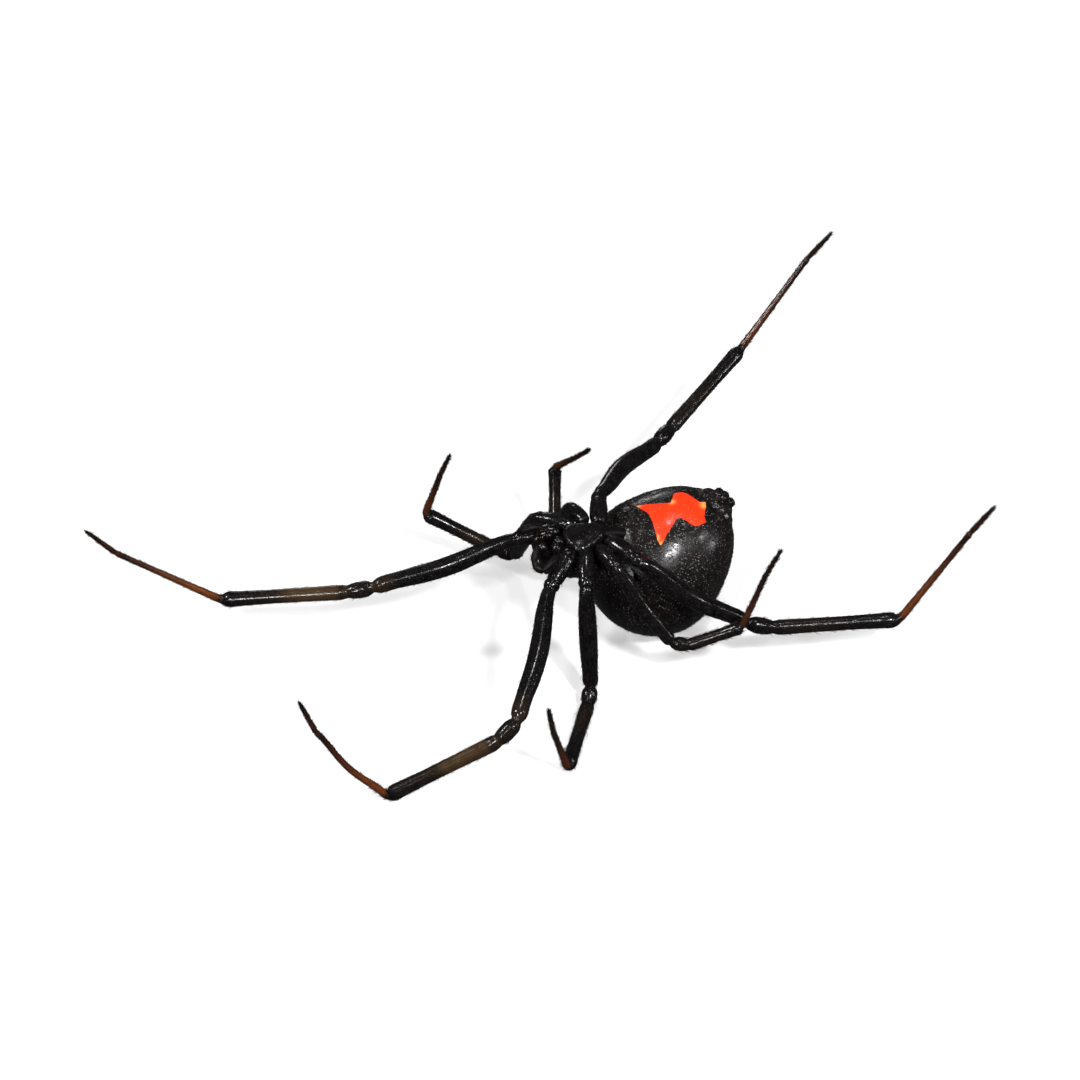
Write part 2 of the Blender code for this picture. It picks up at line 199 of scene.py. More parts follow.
def pod(name, points, radii, material, rows=40, cols=24, flat=1.0, power=7.0):
    """A closed pod along a smooth path, thick as its table of radii says, with round ends."""
    even = curve_through(points, rows)
    t, cap = round_ends(rows, power)
    where = (t + 1) / 2
    path = np.stack([np.interp(where, np.linspace(0, 1, rows), even[:, n]) for n in range(3)], -1)
    thick = table(where, list(zip(np.linspace(0, 1, len(radii)), radii)))
    return add_rings(name, tube(path, thick * np.maximum(cap, LEAST_CAP), cols, flat), material)


# %% [markdown]
# ## Chitin
# A widow's skin is chitin: almost black, very glossy, with fine pits where the hairs are rooted.
# The pits and a slower waviness are one node group, used by every material of the spider with its
# own scales. It reads Object coordinates, so the pattern sits still on each piece.


# %% The group for pits and waves
def grain_group():
    """Pits: 1 at a cell's centre, 0 away from it. Waves: soft noise. Height: Waves + Pits * Pit Height.

    Chance: one random number a cell, so that specks differ."""
    group = bpy.data.node_groups.new("chitin grain", "ShaderNodeTree")
    face = group.interface
    for label in ("Pit Scale", "Pit Width", "Pit Height", "Wave Scale"):
        face.new_socket(label, in_out="INPUT", socket_type="NodeSocketFloat")
    for label in ("Pits", "Waves", "Height", "Chance"):
        face.new_socket(label, in_out="OUTPUT", socket_type="NodeSocketFloat")
    nodes = group.nodes
    link = group.links.new
    into = nodes.new("NodeGroupInput")
    out = nodes.new("NodeGroupOutput")
    place = nodes.new("ShaderNodeTexCoord")
    cells = nodes.new("ShaderNodeTexVoronoi")
    cells.inputs["Randomness"].default_value = 0.8
    link(place.outputs["Object"], cells.inputs["Vector"])
    link(into.outputs["Pit Scale"], cells.inputs["Scale"])
    edge = nodes.new("ShaderNodeMapRange")
    edge.interpolation_type = "SMOOTHSTEP"
    edge.inputs["From Min"].default_value = 0.0
    edge.inputs["To Min"].default_value = 1.0
    edge.inputs["To Max"].default_value = 0.0
    link(cells.outputs["Distance"], edge.inputs["Value"])
    link(into.outputs["Pit Width"], edge.inputs["From Max"])
    waves = nodes.new("ShaderNodeTexNoise")
    waves.inputs["Detail"].default_value = 4.0
    link(place.outputs["Object"], waves.inputs["Vector"])
    link(into.outputs["Wave Scale"], waves.inputs["Scale"])
    less = nodes.new("ShaderNodeMath")
    less.operation = "MULTIPLY_ADD"
    link(edge.outputs["Result"], less.inputs[0])
    link(into.outputs["Pit Height"], less.inputs[1])
    link(waves.outputs["Fac"], less.inputs[2])
    link(edge.outputs["Result"], out.inputs["Pits"])
    link(waves.outputs["Fac"], out.inputs["Waves"])
    link(cells.outputs["Color"], out.inputs["Chance"])
    link(less.outputs["Value"], out.inputs["Height"])
    return group


GRAIN = grain_group()
print("group:", GRAIN.name)

# %% [markdown]
# A material is a chain of small nodes: two colours mixed by a factor, a value eased from one range
# into another, a number that the mesh carries. Each is a short function here.


# %% Helpers for nodes
def ramp_mix(nodes, link, factor, first, second):
    """A colour between first and second, by factor; each is a colour or a socket."""
    mix = nodes.new("ShaderNodeMix")
    mix.data_type = "RGBA"
    link(factor, mix.inputs["Factor"])
    for socket, colour in ((mix.inputs["A"], first), (mix.inputs["B"], second)):
        if isinstance(colour, tuple):
            socket.default_value = (*colour, 1.0)
        else:
            link(colour, socket)
    return mix.outputs["Result"]


def span(nodes, link, value, low, high, out_low, out_high):
    """value between low and high, moved to out_low and out_high and eased."""
    node = nodes.new("ShaderNodeMapRange")
    node.interpolation_type = "SMOOTHSTEP"
    for label, number in zip(("From Min", "From Max", "To Min", "To Max"), (low, high, out_low, out_high)):
        node.inputs[label].default_value = number
    link(value, node.inputs["Value"])
    return node.outputs["Result"]


def attribute(nodes, name):
    """The number of that name which the mesh carries."""
    node = nodes.new("ShaderNodeAttribute")
    node.attribute_name = name
    return node.outputs["Fac"]


# %% [markdown]
# ## Materials
# One recipe makes all the chitin, hard or soft. The legs are black, but thin chitin lets brown
# through: at the patella's joints, on the near half of the tibia and along the metatarsus. The
# paler tone at the femur's end is a painted reflection. How olive or rusty each ring is comes with
# the mesh.

# %% Materials
MICRON = 0.000001
PLATE_IOR = 1.38
SOFT_IOR = 1.22
# the pale specks' colour: partly the hair sockets' own, partly a painted glint
PALE_AND_GLINT = (0.36, 0.33, 0.36)


def chitin(name, dark, light, rough, pits, wave_scale, bump, speck_and_glint=0.0, colour=None, ior=PLATE_IOR):
    """Glossy chitin: dark to light by the waves, in each pit a pale speck, part painted glint, bumped by
    both.

    pits is their scale, width and height; bump is the bumps' depth in microns."""
    material = bpy.data.materials.new(name)
    material.use_nodes = True
    nodes = material.node_tree.nodes
    link = material.node_tree.links.new
    shader = nodes["Principled BSDF"]
    grain = nodes.new("ShaderNodeGroup")
    grain.node_tree = GRAIN
    for label, number in zip(("Pit Scale", "Pit Width", "Pit Height", "Wave Scale"), (*pits, wave_scale)):
        grain.inputs[label].default_value = number
    base = ramp_mix(nodes, link, span(nodes, link, grain.outputs["Waves"], 0.35, 0.65, 0, 1), dark, light)
    # pale specks in the pits, brighter in some cells: partly own colour, partly painted glint
    if speck_and_glint:
        dot_and_glint = nodes.new("ShaderNodeMath")
        dot_and_glint.operation = "MULTIPLY"
        link(span(nodes, link, grain.outputs["Pits"], 0.35, 0.85, 0.0, speck_and_glint), dot_and_glint.inputs[0])
        link(span(nodes, link, grain.outputs["Chance"], 0.28, 0.75, 0.05, 1.0), dot_and_glint.inputs[1])
        base = ramp_mix(nodes, link, dot_and_glint.outputs["Value"], base, PALE_AND_GLINT)
    if colour:
        base = colour(nodes, link, grain, base)
    link(base, shader.inputs["Base Color"])
    uneven = span(nodes, link, grain.outputs["Waves"], 0.3, 0.7, rough + 0.09, rough)
    link(uneven, shader.inputs["Roughness"])
    lift = nodes.new("ShaderNodeBump")
    lift.inputs["Distance"].default_value = bump * MICRON
    lift.inputs["Strength"].default_value = 0.9
    link(grain.outputs["Height"], lift.inputs["Height"])
    link(lift.outputs["Normal"], shader.inputs["Normal"])
    shader.inputs["IOR"].default_value = ior
    return material


def leg_colour(nodes, link, grain, base):
    """Black turned olive by "olive_and_sheen" (a painted reflection at the femur's end) and rust brown by
    "rust", both uneven.
    """
    olive_and_sheen = ramp_mix(nodes, link, grain.outputs["Waves"], (0.090, 0.052, 0.022), (0.030, 0.017, 0.008))
    base = ramp_mix(nodes, link, attribute(nodes, "olive_and_sheen"), base, olive_and_sheen)
    rust = ramp_mix(nodes, link, grain.outputs["Waves"], (0.230, 0.064, 0.016), (0.090, 0.022, 0.007))
    return ramp_mix(nodes, link, attribute(nodes, "rust"), base, rust)


LEG = chitin("leg chitin", (0.0018, 0.0016, 0.0018), (0.0055, 0.0048, 0.0052), rough=0.12,
             pits=(8500.0, 0.42, 0.50), wave_scale=1500.0, bump=13, speck_and_glint=0.18, colour=leg_colour)
SHELL = chitin("body chitin", (0.0020, 0.0018, 0.0020), (0.0060, 0.0052, 0.0056), rough=0.17,
               pits=(5500.0, 0.42, 0.6), wave_scale=1400.0, bump=22, speck_and_glint=0.15)
# soft skin reflects less than hard plates
SOFT = chitin("joint skin", (0.0020, 0.0016, 0.0015), (0.0050, 0.0040, 0.0036), rough=0.40,
              pits=(5000.0, 0.2, -0.4), wave_scale=2500.0, bump=12, ior=SOFT_IOR)
FANG = chitin("fang", (0.006, 0.0018, 0.0012), (0.014, 0.0038, 0.0022), rough=0.12,
              pits=(4000.0, 0.1, -0.3), wave_scale=900.0, bump=3)
BEAD = chitin("eye bead", (0.004, 0.004, 0.005), (0.010, 0.010, 0.014), rough=0.04,
              pits=(2000.0, 0.1, -0.3), wave_scale=400.0, bump=1)
HAIR = chitin("hair", (0.004, 0.003, 0.003), (0.012, 0.008, 0.006), rough=0.34,
              pits=(3000.0, 0.1, -0.3), wave_scale=900.0, bump=2)
print("materials:", len(bpy.data.materials))

# %% [markdown]
# ## Where the legs run
# The tables hold the lengths of a leg's six segments, and the heading and slope of coxa, femur,
# tibia, metatarsus and tarsus, the same numbers as the solids have. The patella points between
# femur and tibia. Corners are rounded with a short curve at each joint, and five femora and one
# metatarsus bow a little, as in the photo.

# %% The table of the legs
BODY_YAW = 202.0
BODY_CENTRE = np.array([-4.74, -2.02, 0.0])
RIM_Z = 8.05
COXA_Z = 8.9
COXA_ROOT = {"1": (1.40, 1.12), "2": (0.36, 1.45), "3": (-0.66, 1.42), "4": (-1.50, 0.98)}
LEG_LENGTHS = {
    "1": (2.7, 9.6, 1.7, 8.5, 8.9, 2.9),
    "2": (2.4, 7.4, 1.2, 5.5, 5.0, 2.2),
    "3": (1.8, 6.5, 1.1, 3.7, 4.2, 1.9),
    "4": (2.7, 8.5, 1.7, 8.2, 7.7, 2.5),
}
LEG_POSE = {
    ("1", "left"): ((-178, -12), (-170, -17), (174, -11), (-163, 44), (-167, 54)),
    ("1", "right"): ((-120, -20), (-102, -13), (-177, -34.2), (-158, 61), (-180, 72)),
    ("2", "left"): ((156, -9), (113, -62), (164, 22), (-46, 71), (-27, 70)),
    ("2", "right"): ((-91, -17), (-79, -75), (-104, 0), (-127, 72), (-159, 82)),
    ("3", "left"): ((120, -9), (105, -61), (90, 53), (-60, 49), (-43, 52)),
    ("3", "right"): ((-59, 0), (-26, -52), (1, 26), (35, 65), (26, 60)),
    ("4", "left"): ((89, -5), (61, -15), (53, 9), (38, 42), (10, 52)),
    ("4", "right"): ((-46, 2), (-6, -35), (5, 0), (22, 54), (9, 57)),
}
LEG_BOW = {
    ("1", "left"): (0.0, -0.36, 0.0, 0.0),
    ("1", "right"): (0.28, 0.0, 0.0, -0.30),
    ("3", "right"): (0.0, -0.22, 0.0, 0.0),
    ("4", "left"): (0.36, 0.0, 0.0, 0.0),
    ("4", "right"): (-0.1, -0.43, 0.0, 0.0),
}
LEG_THICK = {"1": 1.0, "2": 0.95, "3": 0.84, "4": 1.0}
PATELLA_TURN = 0.6                   # its share of the turn from femur to tibia
KNEE_BEND, FOOT_BEND = 0.62, 0.45    # how far from a joint its bend starts, at most
BEND_SHARE = 0.4                     # and as a share of the segment
print("legs:", len(LEG_POSE))


# %% [markdown]
# The joints follow from the table: each is the last one plus a length times a direction. A corner
# is then replaced by a quadratic curve that starts and ends on the two segments.


# %% From the table to a line
def heading(angle, slope=0.0):
    """Unit vector at a compass angle and a slope, in degrees."""
    h, s = math.radians(angle), math.radians(slope)
    return np.array([math.cos(h) * math.cos(s), math.sin(h) * math.cos(s), math.sin(s)])


FORWARD = heading(BODY_YAW)
LEFT = heading(BODY_YAW - 90.0)
UP = np.array([0.0, 0.0, 1.0])


def in_body(forward, left, z):
    """Points centre + forward F + left L + z U of the body frame, from arrays or numbers."""
    forward, left, z = np.broadcast_arrays(forward, left, z)
    return BODY_CENTRE + forward[..., None] * FORWARD + left[..., None] * LEFT + z[..., None] * UP


def turn_between(a, b, t):
    """The direction t of the way from a to b, at an even turn."""
    angle = math.acos(float(np.clip(a @ b, -1, 1)))
    return (math.sin((1 - t) * angle) * a + math.sin(t * angle) * b) / math.sin(angle)


def leg_line(number, side, u):
    """Points at places u along a leg; whole numbers are the joints."""
    sign = 1 if side == "left" else -1
    pose = [heading(*row) for row in LEG_POSE[number, side]]
    patella = turn_between(pose[1], pose[2], PATELLA_TURN)
    dirs = np.array([pose[0], pose[1], patella, pose[2], pose[3], pose[4]])
    lengths = np.array(LEG_LENGTHS[number])
    forward, out = COXA_ROOT[number]
    root = in_body(forward, sign * out, COXA_Z)
    joints = np.concatenate([[root], root + np.cumsum(dirs * lengths[:, None], 0)])
    k = np.clip(np.floor(u).astype(int), 0, 5)
    points = joints[k] + dirs[k] * ((u - k) * lengths[k])[:, None]
    limits = [0.0]
    for j in range(1, 6):
        most = KNEE_BEND if j < 4 else FOOT_BEND
        limits.append(min(most, BEND_SHARE * lengths[j - 1], BEND_SHARE * lengths[j]))
    for j in range(1, 6):
        length = np.where(u < j, lengths[j - 1], lengths[j])
        t = ((u - j) * length / limits[j] + 1) / 2
        near = ((t > 0) & (t < 1))[:, None]
        a = joints[j] - dirs[j - 1] * limits[j]
        b = joints[j] + dirs[j] * limits[j]
        t = t[:, None]
        bend = a * (1 - t) ** 2 + joints[j] * (2 * t * (1 - t)) + b * t ** 2
        points = np.where(near, bend, points)
    for j, row in ((1, slice(0, 2)), (4, slice(2, 4))):
        side_bow, up_bow = LEG_BOW.get((number, side), (0, 0, 0, 0))[row]
        level = unit(np.cross(UP, dirs[j]))
        first = limits[j] / lengths[j]
        last = 1 - limits[j + 1] / lengths[j]
        t = np.clip((u - j - first) / (last - first), 0, 1)
        shift = level * side_bow + np.cross(dirs[j], level) * up_bow
        points = points + shift * (16 * t ** 2 * (1 - t) ** 2)[:, None]
    return points


print("leg 1 left tip, mm:", np.round(leg_line("1", "left", np.array([6.0]))[0], 1))

# %% [markdown]
# ## Legs
# A leg is coxa, trochanter, femur, patella, tibia, metatarsus and tarsus. Each segment swells and
# then narrows into a neck of softer skin at the joint. The radius table has a row for each swell
# and neck, and the browner places are two more tables.

# %% Skin of the legs
LEG_RADIUS = (
    (-0.1, 0.36), (0.0, 0.50), (0.18, 0.58), (0.45, 0.59), (0.66, 0.55), (0.735, 0.52), (0.765, 0.44),
    (0.795, 0.50), (0.85, 0.53), (0.92, 0.50), (0.97, 0.45), (1.0, 0.40), (1.015, 0.44), (1.06, 0.47),
    (1.25, 0.58), (1.45, 0.62),
    (1.65, 0.60), (1.85, 0.535), (1.93, 0.54), (1.955, 0.52), (1.975, 0.46), (1.99, 0.38), (2.0, 0.35),
    (2.06, 0.38), (2.14, 0.46), (2.3, 0.53), (2.55, 0.54), (2.8, 0.505), (2.91, 0.455), (3.0, 0.41),
    (3.015, 0.44), (3.05, 0.49), (3.12, 0.49), (3.3, 0.465), (3.6, 0.455), (3.85, 0.49), (3.915, 0.52),
    (3.945, 0.505), (3.97, 0.44), (3.985, 0.37), (4.0, 0.31), (4.02, 0.275), (4.05, 0.26), (4.12, 0.25),
    (4.35, 0.22), (4.7, 0.19), (4.9, 0.18), (4.965, 0.19), (4.99, 0.175), (5.0, 0.145),
    (5.03, 0.16), (5.12, 0.165), (5.5, 0.15), (5.8, 0.125), (5.93, 0.10), (5.985, 0.065), (6.0, 0.03),
)
# rows near 2.0: a painted reflection at the femur's end and the patella's start; later rows: the tibia's
# olive
OLIVE_AND_SHEEN_TABLE = (
    (0.0, 0.0), (1.80, 0.0), (1.92, 0.20), (2.0, 0.30), (2.14, 0.05), (2.4, 0.08), (2.9, 0.10),
    (3.0, 0.4), (3.04, 0.15), (3.10, 0.70), (3.3, 0.85), (3.42, 0.75), (3.56, 0.15), (3.75, 0.05),
    (3.95, 0.0), (6.0, 0.0),
)
RUST_TABLE = (
    (0.0, 0.0), (3.99, 0.0), (4.03, 0.15), (4.08, 0.85), (4.3, 0.90), (4.52, 0.55), (4.78, 0.25),
    (4.95, 0.08), (5.0, 0.3), (5.05, 0.12), (5.3, 0.22), (5.6, 0.08), (6.0, 0.0),
)
# how olive the tibia and the joints are (at the femur's end a painted reflection), how rusty the
# metatarsus is
LEG_TONES = {
    ("1", "left"): (1.0, 1.0), ("1", "right"): (0.95, 1.0),
    ("2", "left"): (0.2, 0.7), ("2", "right"): (0.12, 0.6),
    ("3", "left"): (0.15, 0.6), ("3", "right"): (0.12, 0.35),
    ("4", "left"): (0.10, 0.45), ("4", "right"): (0.10, 0.75),
}
LEG_COLS = 26
LEAST_RINGS, RINGS_PER_MM, PACKING = 14, 3.2, 0.6


def leg_places(number):
    """Places along a leg, packed closer round the joints."""
    parts = [np.linspace(-0.1, 0.0, 3, endpoint=False)]
    for k, length in enumerate(LEG_LENGTHS[number]):
        count = int(LEAST_RINGS + length * RINGS_PER_MM)
        t = np.linspace(0, 1, count, endpoint=False)
        parts.append(k + t - PACKING * np.sin(2 * np.pi * t) / (2 * np.pi))
    return np.concatenate(parts + [[6.0]])


for number, side in LEG_POSE:
    u = leg_places(number)
    radius = table(u, LEG_RADIUS) * LEG_THICK[number]
    rings = tube(leg_line(number, side, u), radius, LEG_COLS)
    rings[..., 2] = np.maximum(rings[..., 2], 0.0)
    olive_and_sheen, rust = LEG_TONES[number, side]
    # olive_and_sheen holds the tibia's olive and the painted reflection at the femur's end
    tones = {"olive_and_sheen": olive_and_sheen * table(u, OLIVE_AND_SHEEN_TABLE)[:, None], "rust": rust * table(u, RUST_TABLE)[:, None]}
    name = f"leg_{number}_{side}"
    skin = add_rings(f"{name}_skin", rings, LEG, tones)
    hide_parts(*[f"{name}_{part}" for part in ("coxa", "femur", "tibia", "foot")])
print("leg rings:", len(u))

# %% [markdown]
# ## Abdomen
# The abdomen is a globe drawn out towards the spinnerets. Small things are added to its radius: a
# swelling under the spinnerets, the two smooth covers of the book lungs, the furrow behind them,
# and shallow pits where muscles pull from inside. The mark is not a shape but a colour, so each
# vertex only learns how far inside the hourglass it lies.

# %% The hourglass as a distance
ABDOMEN_CENTRE = np.array([0.34, 0.18, 4.68])
ABDOMEN_EGG = (4.858, -0.049, 0.347, 0.2, 0.035)
AXIS = heading(28.0, 37.0)
ACROSS = heading(118.0)
OVER = np.cross(AXIS, ACROSS)
MARK_MIDDLE = unit(np.array([0.6353, -0.1766, 0.7518]))
MARK_BACK = unit(np.array([1.0, 0, 0]) - MARK_MIDDLE[0] * MARK_MIDDLE)
MARK_SIDE = np.cross(MARK_MIDDLE, MARK_BACK)
MARK_CORNERS = np.array([
    (-0.20, 0.54), (-0.11, 0.45), (0.05, 0.29), (0.143, 0.205), (0.227, 0.268), (0.305, 0.335),
    (0.396, 0.283), (0.43, 0.20), (0.432, 0.14), (0.458, 0.007), (0.535, -0.01), (0.50, -0.07),
    (0.445, -0.135), (0.393, -0.196), (0.368, -0.28), (0.308, -0.287), (0.243, -0.293), (0.183, -0.26),
    (0.15, -0.19), (0.109, -0.095), (0.063, -0.066), (0.021, -0.076), (-0.09, -0.134), (-0.22, -0.195),
    (-0.317, -0.25), (-0.368, -0.27), (-0.368, -0.195), (-0.326, -0.078), (-0.248, 0.117),
    (-0.203, 0.282), (-0.216, 0.416)])
# pale spots on the mark: the first five at its tips and corners; the last, at the waist, a painted
# highlight
MARK_TIPS_AND_GLINT = np.array([
    (-0.20, 0.51), (-0.362, -0.26), (-0.36, -0.15), (0.50, -0.02), (0.47, -0.06), (0.17, 0.21)])
TIP_AND_GLINT_WIDTH = 0.040
CORNER_CUT = 0.1
print("corners of the mark:", len(MARK_CORNERS))


def rounded(corners):
    """Corners cut a tenth of the way along each edge."""
    after = np.roll(corners, -1, 0)
    first = corners * (1 - CORNER_CUT) + after * CORNER_CUT
    second = corners * CORNER_CUT + after * (1 - CORNER_CUT)
    return np.stack([first, second], 1).reshape(-1, 2)


def inside_distance(points, corners):
    """Distance to a closed outline, positive inside: nearest edge, signed by crossings."""
    a = corners[None]
    b = np.roll(corners, -1, 0)[None]
    p = points[:, None]
    t = np.clip(((p - a) * (b - a)).sum(-1) / ((b - a) ** 2).sum(-1), 0, 1)
    gap = np.linalg.norm(p - a - (b - a) * t[..., None], axis=-1).min(1)
    rising = (a[..., 1] > p[..., 1]) != (b[..., 1] > p[..., 1])
    slope = (b[..., 0] - a[..., 0]) / np.where(b[..., 1] == a[..., 1], 1e-9, b[..., 1] - a[..., 1])
    crossing = rising & (p[..., 0] < slope * (p[..., 1] - a[..., 1]) + a[..., 0])
    return np.where(crossing.sum(1) % 2 == 1, gap, -gap)


def bump_at(q, place, width):
    """1 at a place on the unit globe, falling off as exp(-(distance / width)^2)."""
    return np.exp(-((q - unit(np.array(place))) ** 2).sum(-1) / width ** 2)


# %% [markdown]
# The skin is the egg's radius plus a relief. First come the swelling at the spinnerets and its
# wrinkled rim, then the rows of the table on both sides, then the furrow and the creases ahead of
# it, and last a slow and a fine unevenness all over.

# %% Skin of the abdomen
# rise in mm, place on the unit globe, how far to each side of it, width
RELIEF = (
    (0.12, (0.10, 0.28, 0.97), 0.26, 0.13),
    (-0.07, (0.42, 0.16, 0.88), 0.46, 0.05),
    (-0.06, (0.70, 0.05, 0.68), 0.44, 0.045),
    (-0.10, (-0.55, 0.0, -0.80), 0.30, 0.055),
    (-0.10, (-0.10, 0.0, -0.93), 0.34, 0.055),
)
TIP_RISE, TIP_REACH = 0.46, 0.235      # swelling at the spinnerets: mm, and radians from the tip
RIM_REACH, RIM_WIDTH = 0.24, 0.11      # its wrinkled rim, in radians
BELLY_LEAN = 0.25                      # the belly's middle on the unit globe, to the left
FURROW, FURROW_WIDTH, FURROW_DEPTH = 0.28, 0.030, 0.10    # on the unit globe; the depth in mm


def abdomen_relief(q):
    """Height in mm of everything that stands out of the plain egg, at unit directions q."""
    angle = np.arccos(np.clip(q[..., 0], -1, 1))
    turn = np.arctan2(q[..., 2], q[..., 1])
    height = TIP_RISE * np.exp(-(angle / TIP_REACH) ** 4)
    rim = np.exp(-((angle - RIM_REACH) / RIM_WIDTH) ** 2)
    rings = 0.040 * np.cos(52 * angle + 2 * np.sin(3 * turn))
    height = height + rim * (rings + 0.035 * np.cos(11 * turn + 9 * angle))
    for side in (-1, 1):
        for rise, (x, y, z), apart, width in RELIEF:
            height = height + rise * bump_at(q, (x, y + apart * side, z), width)
    ahead = q[..., 0] - FURROW + 0.35 * (q[..., 1] - BELLY_LEAN) ** 2
    belly = np.clip(q[..., 2], 0, 1) ** 3 * np.exp(-((q[..., 1] - BELLY_LEAN) / 0.42) ** 2)
    height = height - FURROW_DEPTH * np.exp(-(ahead / FURROW_WIDTH) ** 2) * belly
    crease = np.sin(46 * q[..., 0] + 7 * q[..., 1]) * np.sin(31 * q[..., 1] - 12 * q[..., 0])
    height = height + 0.034 * crease * np.exp(-((ahead + 0.14) / 0.13) ** 2) * belly
    slow = np.sin(5.1 * q[..., 0] + 2.0) * np.sin(4.3 * q[..., 1]) + np.sin(6.7 * q[..., 2] + 1.0)
    fine = np.sin(17 * q[..., 0] + 3 * q[..., 1]) * np.sin(19 * q[..., 1] - 5 * q[..., 2])
    fine = fine * np.sin(15 * q[..., 2])
    return height + 0.014 * slow + 0.008 * fine


def abdomen_points(q, grow=0.0):
    """Unit directions q carried to the skin: an egg whose radius is a sum of cosines, plus its relief."""
    angle = np.arccos(np.clip(q[..., 0], -1, 1))
    radius = sum(a * np.cos(k * angle) for k, a in enumerate(ABDOMEN_EGG)) + abdomen_relief(q) + grow
    points = ABDOMEN_CENTRE + (q * radius[..., None]) @ np.stack([AXIS, ACROSS, OVER])
    points[..., 2] = np.maximum(points[..., 2], 0.0)
    return points


rows, cols = 210, 400
POLE_GAP = 0.004     # the first and last ring stay this far from the poles, in radians
theta = np.linspace(POLE_GAP, np.pi - POLE_GAP, rows)[:, None]
phi = np.linspace(0, 2 * np.pi, cols, endpoint=False)[None]
q = np.stack([np.cos(theta) + 0 * phi, np.sin(theta) * np.cos(phi), np.sin(theta) * np.sin(phi)], -1)
chart = np.stack([q @ MARK_BACK, q @ MARK_SIDE], -1).reshape(-1, 2)
outline = rounded(MARK_CORNERS)
mark = inside_distance(chart, outline).reshape(rows, cols)
mark = np.where(q @ MARK_MIDDLE > 0.1, mark, -1.0)
# the pale spots: the mark's yellower tips, and one painted highlight at its waist
tips = np.exp(-(((chart[:, None] - MARK_TIPS_AND_GLINT[None]) / TIP_AND_GLINT_WIDTH) ** 2).sum(-1)).max(1).reshape(rows, cols)
print("marked share of the abdomen:", round(float((mark > 0).mean()), 3))


# %% [markdown]
# The abdomen is satin rather than glossy, with a haze of tiny pale specks where the hairs are
# rooted, partly their own colour and partly painted glints. The hourglass has a crisp but slightly
# ragged edge, so a fine noise is added to the distance before it is cut. Its corners fade from orange
# red to a yellower orange, and a pale spot at its waist is a painted highlight.


# %% Material and mesh of the abdomen
def abdomen_colour(nodes, link, grain, base):
    """The red mark, with yellower tips and a painted highlight at its waist, laid over the specked black.
    """
    place = nodes.new("ShaderNodeTexCoord")
    rag = nodes.new("ShaderNodeTexNoise")
    rag.inputs["Scale"].default_value = 5200.0
    link(place.outputs["Object"], rag.inputs["Vector"])
    shift = nodes.new("ShaderNodeMath")
    shift.operation = "MULTIPLY_ADD"
    shift.inputs[1].default_value = 0.016
    link(rag.outputs["Fac"], shift.inputs[0])
    link(attribute(nodes, "mark"), shift.inputs[2])
    mask = span(nodes, link, shift.outputs["Value"], 0.004, 0.014, 0.0, 1.0)
    red = ramp_mix(nodes, link, grain.outputs["Waves"], (0.93, 0.046, 0.008), (0.78, 0.028, 0.005))
    # pale spots: the yellower tips and a painted highlight at the waist
    red = ramp_mix(nodes, link, attribute(nodes, "tips"), red, (0.95, 0.36, 0.09))
    return ramp_mix(nodes, link, mask, base, red)


# the dense pale specks on the abdomen are partly painted glints
SATIN = chitin("abdomen skin", (0.0030, 0.0024, 0.0024), (0.010, 0.0075, 0.0068), rough=0.20,
               pits=(8000.0, 0.46, 0.7), wave_scale=1300.0, bump=26, speck_and_glint=0.85, colour=abdomen_colour)
rings = abdomen_points(q)
abdomen = add_rings("abdomen_skin", rings, SATIN, {"mark": mark, "tips": tips})
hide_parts("abdomen")
print("abdomen size, mm:", np.round(np.ptp(rings.reshape(-1, 3), 0), 2))

# %% [markdown]
# ## Spinnerets and genital plate
# Six short cones and a tubercle stand close together on a wrinkled base at the tip of the abdomen.
# In front of the furrow lies the small dark plate of the genital opening. All are pods set on the
# skin.


# %% Spinnerets and plate
# name, sideways, towards the belly, thickness and reach along the axis, in mm
CONES = (
    ("front_left", 0.29, -0.30, 0.37, 6.17),
    ("front_right", -0.29, -0.30, 0.37, 6.17),
    ("rear_left", 0.27, 0.26, 0.33, 6.13),
    ("rear_right", -0.27, 0.26, 0.33, 6.13),
    ("middle_left", 0.10, 0.00, 0.22, 6.12),
    ("middle_right", -0.10, 0.00, 0.22, 6.12),
    ("tubercle", 0.0, 0.56, 0.26, 5.98),
)
CONE_FOOT = 5.45
CONE_COLS = 22
CONE_SWELLS = np.array([1.1, 1.12, 0.98, 1.02, 0.80, 0.55])
made = []
for label, x, y, thick, reach in CONES:
    aside = ACROSS * x + OVER * y
    foot = ABDOMEN_CENTRE + AXIS * CONE_FOOT + aside * 1.15
    top = ABDOMEN_CENTRE + AXIS * reach + aside
    line = [foot, foot * 0.45 + top * 0.55 + aside * 0.10, top]
    made.append(pod(f"spinneret_{label}", line, thick * CONE_SWELLS, SHELL,
                    cols=CONE_COLS, power=5.0))
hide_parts("spinnerets")
PLATE_HALF = 0.42
plate = abdomen_points(unit(np.array([0.20, BELLY_LEAN, 0.94])), -0.04)
pod("genital_plate", [plate - ACROSS * PLATE_HALF, plate - AXIS * 0.12, plate + ACROSS * PLATE_HALF],
    (0.10, 0.20, 0.26, 0.20, 0.10), SHELL, rows=30, cols=20, flat=0.6, power=4.0)
print("cones:", len(made))

# %% [markdown]
# ## Carapace, sternum and the skin between
# The head and chest are two hard plates with softer skin between them. The carapace is the back
# plate: a low dome, narrow at the head, with a pit in the middle and shallow grooves running to
# it. The sternum is a heart-shaped shield between the legs.

